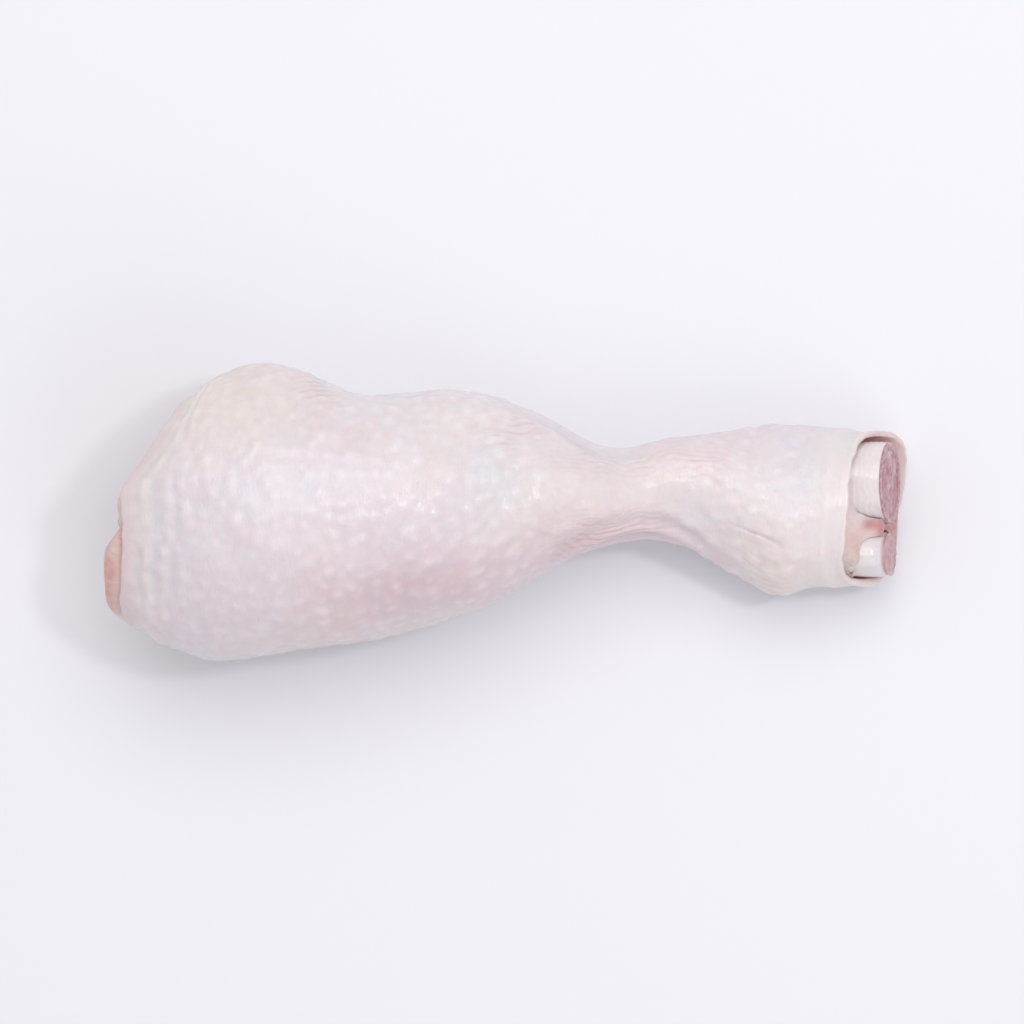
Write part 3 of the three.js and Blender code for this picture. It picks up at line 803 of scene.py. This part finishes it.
def make_bone():
    """The shin bone from the cartilage of its knee head to the sawn hock, with the bore of its marrow."""
    angle = turns(BONE_AROUND)[None, :]
    x = stations(BONE_RINGS)
    outer = oval_tube(BONE, x, angle)
    outer = outer + grid_normals(outer) * bone_relief(outer, x, angle)[..., None]
    y, z, half_y, half_z = oval_at(BONE, np.array([[HOCK_CUT]]))
    turn = np.linspace(0, math.pi / 2, 5)[1:, None]
    inset = EDGE_ROUND * (1 - np.cos(turn))
    rim = on_oval(HOCK_CUT, y, z, half_y - inset, half_z - inset, angle)
    rim[..., 0] += EDGE_ROUND * (np.sin(turn) - 1)
    outer[-1, :, 0] -= EDGE_ROUND
    bore_x = stations(BORE_RINGS)
    bore = on_oval(bore_x, *marrow_oval(bore_x, JOIN), angle)
    face = np.stack([mix(rim[-1], bore[0], t) for t in (0.2, 0.4, 0.6, 0.8)])
    face[..., 0] -= 0.14 * (1 + noise(face, 0.9, 41))
    bone = lofted("raw_bone", np.concatenate([outer, rim, face, bore]), False)
    paint(bone, bone_masks(vertices(bone)))
    return bone


def bone_relief(points, x, angle):
    """Two facets on the knee head, rings and a groove by the hock cut, and unevenness."""
    across = points[..., 2] - BONE[0][2] - HEAD_GROOVE["slope"] * (points[..., 1] - BONE[0][1])
    head = -HEAD_GROOVE["depth"] * bell(across, HEAD_GROOVE["width"])
    head = head * (1 - smoothstep(x, -0.5, 3.0))
    hock = -HOCK_GROOVE["depth"] * bell(turn_from(angle, HOCK_GROOVE["angle"]), HOCK_GROOVE["spread"])
    hock = hock * smoothstep(x, 118.0, 130.0)
    drift = x + 0.9 * noise(points, 3.0, 46)
    bands = BANDS["height"] * np.sin(2 * math.pi * drift / BANDS["wave"]) * smoothstep(x, 124.0, 130.0)
    return head + hock + bands + roughness(points, BONE_UNEVEN) + LEVEL


def bone_masks(points):
    """Cut face, pink stain, yellow (a ligament stain, with painted shade of the skin's collar near X 131)
    and knee end, by place.
    """
    cut = 1 - smoothstep(from_cut(points, BONE[-1][2]), 0.25, 0.6)
    stain = 0.2 + 0.5 * layered_noise(points, 5.0, 44)
    # The yellow band near X 131 is painted shade of the skin's collar.
    yellow = 0.15 + 0.5 * layered_noise(points, 6.0, 45) + 0.4 * bell(points[:, 0] - 131.0, 2.5)
    knee = 1 - smoothstep(points[:, 0], 4.0, 9.0)
    return np.stack([cut, stain, yellow, knee], axis=-1)


def make_marrow():
    """The red spongy core, seen at the hock cut."""
    angle = turns(CORE_AROUND)[None, :]
    end = HOCK_CUT - MARROW_SUNK
    x = np.linspace(MARROW_START, end, MARROW_ALONG)[:, None]
    shaft = on_oval(x, *marrow_oval(x, 0.0), angle)
    shares = np.linspace(0.97, 0.03, FACE_STEPS)
    face = cut_face(end, marrow_oval(np.array([end]), 0.0), angle, shares, rough=0.6, seed=51)
    marrow = lofted("raw_marrow", np.concatenate([shaft, face]), False)
    points = vertices(marrow)
    pit = smoothstep(from_cut(points, BONE[-1][2]) - 0.3, 0.25, 0.8)
    blood = 0.5 + 0.6 * layered_noise(points, 3.0, 53)
    pale = 0.5 + 0.9 * noise(points, 1.5, 54)
    paint(marrow, np.stack([pit, blood, pale, pit], axis=-1))
    return marrow


def make_tendon():
    """The heel tendon bundle with its cartilage, from the calf to the cut."""
    angle = turns(CORE_AROUND)[None, :]
    x = np.linspace(TENDON[0][0], HOCK_CUT, TENDON_ALONG)[:, None]
    tube = oval_tube(TENDON, x, angle)
    strands = np.stack(np.broadcast_arrays(5 * np.cos(angle), 5 * np.sin(angle), x / 30), axis=-1)
    knob = smoothstep(x, *KNOB)
    ripple = 0.16 * noise(strands, 0.8, 61) * (1 - 0.8 * knob) + 0.12 * noise(tube, 3.0, 62) + LEVEL
    ripple = ripple - KNOB_TAPER["depth"] * smoothstep(x, KNOB_TAPER["start"], HOCK_CUT)
    tube = tube + grid_normals(tube) * ripple[..., None]
    tube[-1, :, 0] -= EDGE_ROUND
    shares = np.linspace(0.93, 0.04, FACE_STEPS)
    end = oval_at(TENDON, np.array([HOCK_CUT]))
    face = cut_face(HOCK_CUT, end, angle, shares, rough=0.6, seed=63)
    tendon = lofted("raw_tendon", np.concatenate([tube, face]), False)
    points = vertices(tendon)
    cut = 1 - smoothstep(from_cut(points, TENDON[-1][2]), 0.45, 0.9)
    stain = 0.2 + 0.5 * layered_noise(points, 4.0, 64)
    # Yellow: fat and ligament stain, and near X 130.5 painted shade of the skin's collar.
    yellow = 0.1 + 0.5 * noise(points, 5.0, 65) + 1.1 * bell(points[:, 0] - 130.5, 2.5)
    paint(tendon, np.stack([cut, stain, yellow, 0 * cut], axis=-1))
    return tendon


# Materials


def rgb(*values):
    """Linear colour from an 8-bit screen colour."""
    share = [v / 255 for v in values]
    return tuple(s / 12.92 if s <= 0.04045 else ((s + 0.055) / 1.055) ** 2.4 for s in share)


SKIN_COLORS = dict(
    pale=rgb(227, 217, 221), cool=rgb(225, 219, 226), violet=rgb(217, 205, 219),
    cream=rgb(238, 224, 208), red=rgb(213, 176, 182), speck=rgb(214, 182, 186),
    bump=rgb(243, 239, 243), collar=rgb(233, 224, 225),
)
MEAT_COLORS = dict(
    dark=rgb(205, 156, 153), light=rgb(224, 184, 177), blood=rgb(172, 112, 116),
    tan=rgb(214, 184, 177), fat=rgb(234, 220, 207), hock=rgb(235, 219, 217),
)
BONE_COLORS = dict(
    dark=rgb(229, 217, 220), light=rgb(237, 229, 230), stain=rgb(226, 200, 200),
    yellow=rgb(234, 220, 196), cartilage=rgb(222, 226, 234),
    pore=rgb(176, 122, 132), raw=rgb(208, 168, 173),
)
MARROW_COLORS = dict(
    dark=rgb(174, 112, 122), light=rgb(200, 150, 156), blood=rgb(166, 100, 112),
    pale=rgb(224, 194, 194), pit=rgb(126, 66, 78),
)
TENDON_COLORS = dict(
    dark=rgb(221, 214, 220), light=rgb(231, 226, 232), stain=rgb(224, 198, 196),
    yellow=rgb(232, 216, 186), cut=rgb(188, 138, 144),
)
SCATTER_RADIUS = (1.0, 0.42, 0.34)  # red light goes deepest
SKIN_GLOSS = 0.36


class Nodes:
    """Builds one procedural material node by node."""

    def __init__(self, name):
        self.material = bpy.data.materials.new(name)
        self.material.use_nodes = True
        self.tree = self.material.node_tree
        self.shader = self.tree.nodes["Principled BSDF"]
        self.place = self.add("ShaderNodeTexCoord").outputs["Object"]
        attribute = self.add("ShaderNodeVertexColor", layer_name="masks")
        split = self.add("ShaderNodeSeparateColor", {"Color": attribute.outputs["Color"]})
        self.masks = [split.outputs[k] for k in range(3)] + [attribute.outputs["Alpha"]]

    def add(self, kind, inputs=None, **settings):
        node = self.tree.nodes.new(kind)
        for key, value in settings.items():
            setattr(node, key, value)
        for key, value in (inputs or {}).items():
            self.set(node.inputs[key], value)
        return node

    def set(self, socket, value):
        if isinstance(value, bpy.types.NodeSocket):
            self.tree.links.new(value, socket)
        elif isinstance(value, (tuple, list)) and socket.type == "RGBA":
            socket.default_value = (*value, 1.0)
        else:
            socket.default_value = value

    def noise(self, size, detail=3.0, stretch=(1, 1, 1), distortion=0.0):
        """Noise with features of about `size` metres, stretched along the axes."""
        mapping = self.add("ShaderNodeMapping", {"Vector": self.place, "Scale": stretch})
        node = self.add(
            "ShaderNodeTexNoise",
            {"Vector": mapping.outputs["Vector"], "Scale": 1 / size, "Detail": detail,
             "Distortion": distortion},
        )
        return node.outputs["Fac"]

    def ramp(self, value, low, high, to_low=0.0, to_high=1.0):
        inputs = {"Value": value, "From Min": low, "From Max": high, "To Min": to_low, "To Max": to_high}
        return self.add("ShaderNodeMapRange", inputs, clamp=True).outputs["Result"]

    def mix(self, factor, a, b):
        node = self.add("ShaderNodeMix", data_type="RGBA", clamp_factor=True)
        self.set(node.inputs[0], factor)
        self.set(node.inputs[6], a)
        self.set(node.inputs[7], b)
        return node.outputs[2]

    def times(self, a, b):
        node = self.add("ShaderNodeMath", operation="MULTIPLY")
        self.set(node.inputs[0], a)
        self.set(node.inputs[1], b)
        return node.outputs[0]

    def bump(self, height, distance, strength=1.0, normal=None):
        inputs = {"Height": height, "Distance": distance, "Strength": strength}
        if normal is not None:
            inputs["Normal"] = normal
        return self.add("ShaderNodeBump", inputs).outputs["Normal"]

    def finish(self, color, roughness, normal, *, scatter, depth, coat, coat_rough):
        self.set(self.shader.inputs["Base Color"], color)
        self.set(self.shader.inputs["Roughness"], roughness)
        self.set(self.shader.inputs["Normal"], normal)
        self.set(self.shader.inputs["Subsurface Weight"], scatter)
        self.set(self.shader.inputs["Subsurface Radius"], SCATTER_RADIUS)
        self.set(self.shader.inputs["Subsurface Scale"], depth)
        self.set(self.shader.inputs["Coat Weight"], coat)
        self.set(self.shader.inputs["Coat Roughness"], coat_rough)
        self.set(self.shader.inputs["Coat Normal"], normal)
        return self.material


def skin_material():
    n = Nodes("raw_skin")
    white, red, cream, collar = n.masks
    cloud = n.ramp(n.noise(0.009, 4.0), 0.35, 0.7)
    violet = n.ramp(n.noise(0.014, 3.0, distortion=0.5), 0.5, 0.75, 0.0, 0.4)
    speck = n.ramp(n.noise(0.0016, 2.0), 0.42, 0.7)
    colors = SKIN_COLORS
    base = n.mix(cloud, colors["pale"], colors["cool"])
    base = n.mix(violet, base, colors["violet"])
    base = n.mix(n.times(cream, 0.7), base, colors["cream"])
    base = n.mix(n.times(red, 0.75), base, colors["red"])
    base = n.mix(n.times(speck, 0.14), base, colors["speck"])
    # Bump tops whitened: partly their own colour, partly painted highlight.
    base = n.mix(n.times(white, 0.36), base, colors["bump"])
    base = n.mix(n.times(collar, 0.5), base, colors["collar"])
    wrinkle = n.noise(0.0009, 2.0, stretch=(1.6, 0.5, 0.5), distortion=0.6)
    grain = n.noise(0.0004, 2.0)
    normal = n.bump(wrinkle, 0.0002, 0.4)
    normal = n.bump(grain, 0.00006, 0.4, normal)
    wet = n.ramp(n.noise(0.006, 3.0), 0.35, 0.7, 0.36, 0.56)
    n.set(n.shader.inputs["Specular IOR Level"], SKIN_GLOSS)
    return n.finish(base, wet, normal, scatter=0.35, depth=0.0025, coat=0.42, coat_rough=0.2)


def meat_material():
    n = Nodes("raw_meat")
    fat, blood, tan, hock = n.masks
    fibre = n.ramp(n.noise(0.0012, 3.0, stretch=(0.35, 1.0, 1.0), distortion=0.4), 0.3, 0.75)
    colors = MEAT_COLORS
    base = n.mix(fibre, colors["dark"], colors["light"])
    # Blood: the cut face, random stains, and painted shade in the notch.
    base = n.mix(n.times(blood, 0.55), base, colors["blood"])
    # Tan: the knee's membrane, and painted shade over the fat beside the tendon.
    base = n.mix(n.times(tan, 0.6), base, colors["tan"])
    base = n.mix(n.ramp(fat, 0.15, 0.75, 0.0, 0.85), base, colors["fat"])
    base = n.mix(n.times(hock, 0.8), base, colors["hock"])
    normal = n.bump(fibre, 0.0002, 0.6)
    normal = n.bump(n.noise(0.0006, 2.0), 0.00008, 0.5, normal)
    return n.finish(base, 0.36, normal, scatter=0.3, depth=0.0025, coat=0.6, coat_rough=0.12)


def bone_material():
    n = Nodes("raw_bone")
    cut, stain, yellow, knee = n.masks
    colors = BONE_COLORS
    base = n.mix(n.ramp(n.noise(0.004, 3.0), 0.35, 0.7), colors["dark"], colors["light"])
    base = n.mix(n.times(stain, 0.35), base, colors["stain"])
    # Yellow: ligament stain, and painted shade by the skin's collar.
    base = n.mix(n.times(yellow, 0.3), base, colors["yellow"])
    base = n.mix(n.times(knee, 0.35), base, colors["cartilage"])
    pores = n.ramp(n.noise(0.0008, 3.0), 0.4, 0.62)
    base = n.mix(cut, base, n.mix(pores, colors["pore"], colors["raw"]))
    normal = n.bump(n.noise(0.0012, 3.0), 0.0001, 0.5)
    return n.finish(base, 0.42, normal, scatter=0.25, depth=0.0018, coat=0.35, coat_rough=0.2)


def marrow_material():
    n = Nodes("raw_marrow")
    pit, blood, pale, _ = n.masks
    colors = MARROW_COLORS
    base = n.mix(n.ramp(n.noise(0.0011, 3.0), 0.35, 0.68), colors["dark"], colors["light"])
    base = n.mix(n.times(blood, 0.4), base, colors["blood"])
    base = n.mix(n.ramp(pale, 0.55, 1.0, 0.0, 0.6), base, colors["pale"])
    base = n.mix(n.times(pit, 0.75), base, colors["pit"])
    normal = n.bump(n.noise(0.0005, 3.0), 0.00018, 0.8)
    return n.finish(base, 0.34, normal, scatter=0.2, depth=0.0015, coat=0.6, coat_rough=0.12)


def tendon_material():
    n = Nodes("raw_tendon")
    cut, stain, yellow, _ = n.masks
    strands = n.noise(0.0008, 3.0, stretch=(0.12, 1.0, 1.0))
    colors = TENDON_COLORS
    base = n.mix(n.ramp(strands, 0.35, 0.7), colors["dark"], colors["light"])
    base = n.mix(n.times(stain, 0.3), base, colors["stain"])
    # Yellow: fat and ligament stain, and painted shade by the skin's collar.
    base = n.mix(n.times(yellow, 0.35), base, colors["yellow"])
    base = n.mix(n.times(cut, 0.9), base, colors["cut"])
    normal = n.bump(strands, 0.0002, 0.6)
    return n.finish(base, 0.32, normal, scatter=0.25, depth=0.0018, coat=0.6, coat_rough=0.12)


def dress(piece, node, material):
    piece.data.materials.clear()
    piece.data.materials.append(material)
    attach(piece, "root")
    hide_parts(node)


# Stage

FRAME_FILL = 0.79  # share of the picture's width that the drumstick takes
LENS = 200.0
SENSOR = 36.0
FLOOR_HALF = 3.0
FLOOR_Z = -0.00003  # a hair under the flat spots, so that the faces don't share a plane
FLOOR_COLOR = rgb(236, 236, 240)
LIGHT_AIM = (0, 0, 0.02)
LIGHTS = [
    dict(name="key", place=(0.02, 0.42, 0.92), size=0.9, watts=4.0, color=(1.0, 1.0, 1.0)),
    dict(name="fill", place=(0.35, -0.5, 0.6), size=0.6, watts=0.8, color=(1.0, 0.97, 0.96)),
    dict(name="glint", place=(0.46, 0.16, 1.15), size=0.14, watts=1.9, color=(1.0, 1.0, 1.0)),
]
SKY_COLOR = (0.97, 0.97, 1.0)
SKY_STRENGTH = 0.6


def make_floor():
    corners = [(-1, -1), (1, -1), (1, 1), (-1, 1)]
    mesh = bpy.data.meshes.new("floor")
    mesh.from_pydata([(x * FLOOR_HALF, y * FLOOR_HALF, FLOOR_Z) for x, y in corners], [], [(0, 1, 2, 3)])
    floor = bpy.data.objects.new("floor", mesh)
    bpy.context.collection.objects.link(floor)
    material = bpy.data.materials.new("floor")
    material.use_nodes = True
    shader = material.node_tree.nodes["Principled BSDF"]
    shader.inputs["Base Color"].default_value = (*FLOOR_COLOR, 1.0)
    shader.inputs["Roughness"].default_value = 0.6
    mesh.materials.append(material)


def area_light(name, place, size, watts, color):
    light = bpy.data.lights.new(name, "AREA")
    light.shape = "DISK"
    light.size = size
    light.energy = watts
    light.color = color
    lamp = bpy.data.objects.new(name, light)
    lamp.location = place
    lamp.rotation_euler = (Vector(LIGHT_AIM) - Vector(place)).to_track_quat("-Z", "Y").to_euler()
    bpy.context.collection.objects.link(lamp)


def make_lights():
    for light in LIGHTS:
        area_light(**light)
    world = bpy.data.worlds.new("studio")
    world.use_nodes = True
    background = world.node_tree.nodes["Background"]
    background.inputs["Color"].default_value = (*SKY_COLOR, 1.0)
    background.inputs["Strength"].default_value = SKY_STRENGTH
    bpy.context.scene.world = world
    bpy.context.scene.view_settings.view_transform = "Standard"


def make_camera():
    """Straight above, with the knee end on the left of the picture."""
    low, high = (np.array(v) for v in cad_box)
    middle = (low + high) / 2
    distance = (high[0] - low[0]) / FRAME_FILL * LENS / SENSOR
    data = bpy.data.cameras.new("camera")
    data.lens = LENS
    data.sensor_width = SENSOR
    camera = bpy.data.objects.new("camera", data)
    camera.location = (middle[0], middle[1], middle[2] + distance)
    bpy.context.collection.objects.link(camera)
    bpy.context.scene.camera = camera


make_camera()
skin = make_skin()
dress(skin, "skin", skin_material())
bone = make_bone()
dress(bone, "bone", bone_material())
tendon = make_tendon()
dress(tendon, "tendon", tendon_material())
marrow = make_marrow()
dress(marrow, "marrow", marrow_material())
meat = make_meat(cutter(BONE, BONE_AROUND), cutter(TENDON, CORE_AROUND))
meat.data.set_sharp_from_angle(angle=SHARP_ANGLE)
dress(meat, "meat", meat_material())
make_floor()
make_lights()
